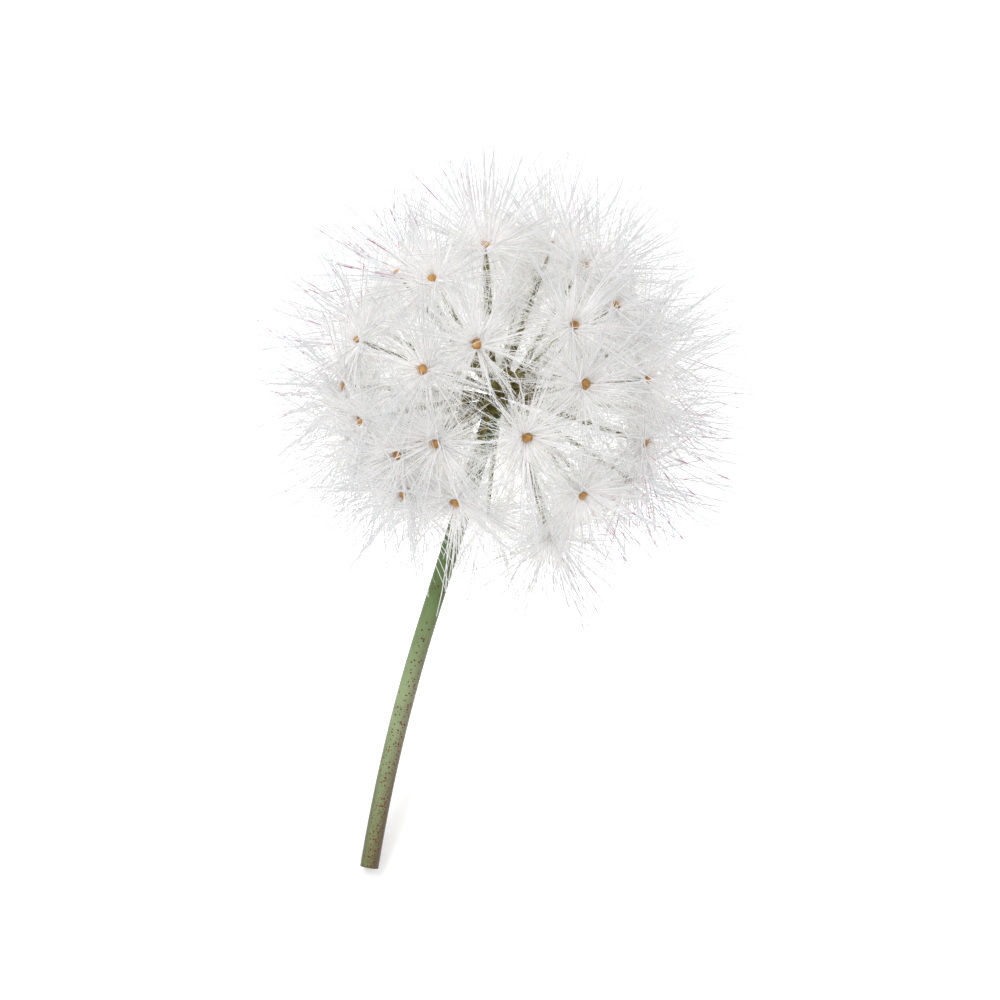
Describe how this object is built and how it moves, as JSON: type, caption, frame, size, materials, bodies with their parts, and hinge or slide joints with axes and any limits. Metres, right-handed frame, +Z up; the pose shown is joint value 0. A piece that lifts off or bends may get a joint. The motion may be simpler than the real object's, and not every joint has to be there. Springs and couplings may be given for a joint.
{
  "type": "artificial dandelion seed head",
  "caption": "Ball of fine white nylon fibre tufts on plastic stalks at the top of a green sheathed wire stem, lying on its side.",
  "frame": {"origin": "on the table surface, under the middle of the whole object's box", "axes": "+Z up, +Y along the table from the stem's cut end to the head, +X to the side that the stem bends towards"},
  "size_m": [0.116, 0.1706, 0.1096],
  "materials": {
    "stem_sheath": "green plastic sheath with dark red paint specks, half gloss",
    "stem_wire": "bare steel wire, dull",
    "stalk": "olive moulded plastic with golden brown translucent caps",
    "fibre": "fine white translucent nylon and film filaments with faint iridescent glints"
  },
  "bodies": {
    "root": {"stem": "stem_sheath", "stem_wire": "stem_wire", "stalk_star_1": "stalk", "stalk_star_2": "stalk", "stalk_star_3": "stalk", "stalk_star_4": "stalk", "stalk_star_5": "stalk", "tuft_1_01": "fibre", "tuft_1_02": "fibre", "tuft_1_03": "fibre", "tuft_1_04": "fibre", "tuft_1_05": "fibre", "tuft_1_06": "fibre", "tuft_2_01": "fibre", "tuft_2_02": "fibre", "tuft_2_03": "fibre", "tuft_2_04": "fibre", "tuft_2_05": "fibre", "tuft_2_06": "fibre", "tuft_2_07": "fibre", "tuft_2_08": "fibre", "tuft_3_01": "fibre", "tuft_3_02": "fibre", "tuft_3_03": "fibre", "tuft_3_04": "fibre", "tuft_3_05": "fibre", "tuft_3_06": "fibre", "tuft_3_07": "fibre", "tuft_3_08": "fibre", "tuft_3_09": "fibre", "tuft_3_10": "fibre", "tuft_3_11": "fibre", "tuft_4_01": "fibre", "tuft_4_02": "fibre", "tuft_4_03": "fibre", "tuft_4_04": "fibre", "tuft_4_05": "fibre", "tuft_4_06": "fibre", "tuft_4_07": "fibre", "tuft_4_08": "fibre", "tuft_4_09": "fibre", "tuft_4_10": "fibre", "tuft_5_01": "fibre", "tuft_5_02": "fibre", "tuft_5_03": "fibre", "tuft_5_04": "fibre", "tuft_5_05": "fibre", "tuft_5_06": "fibre", "tuft_5_07": "fibre", "tuft_5_08": "fibre", "tuft_5_09": "fibre"}
  },
  "joints": []
}
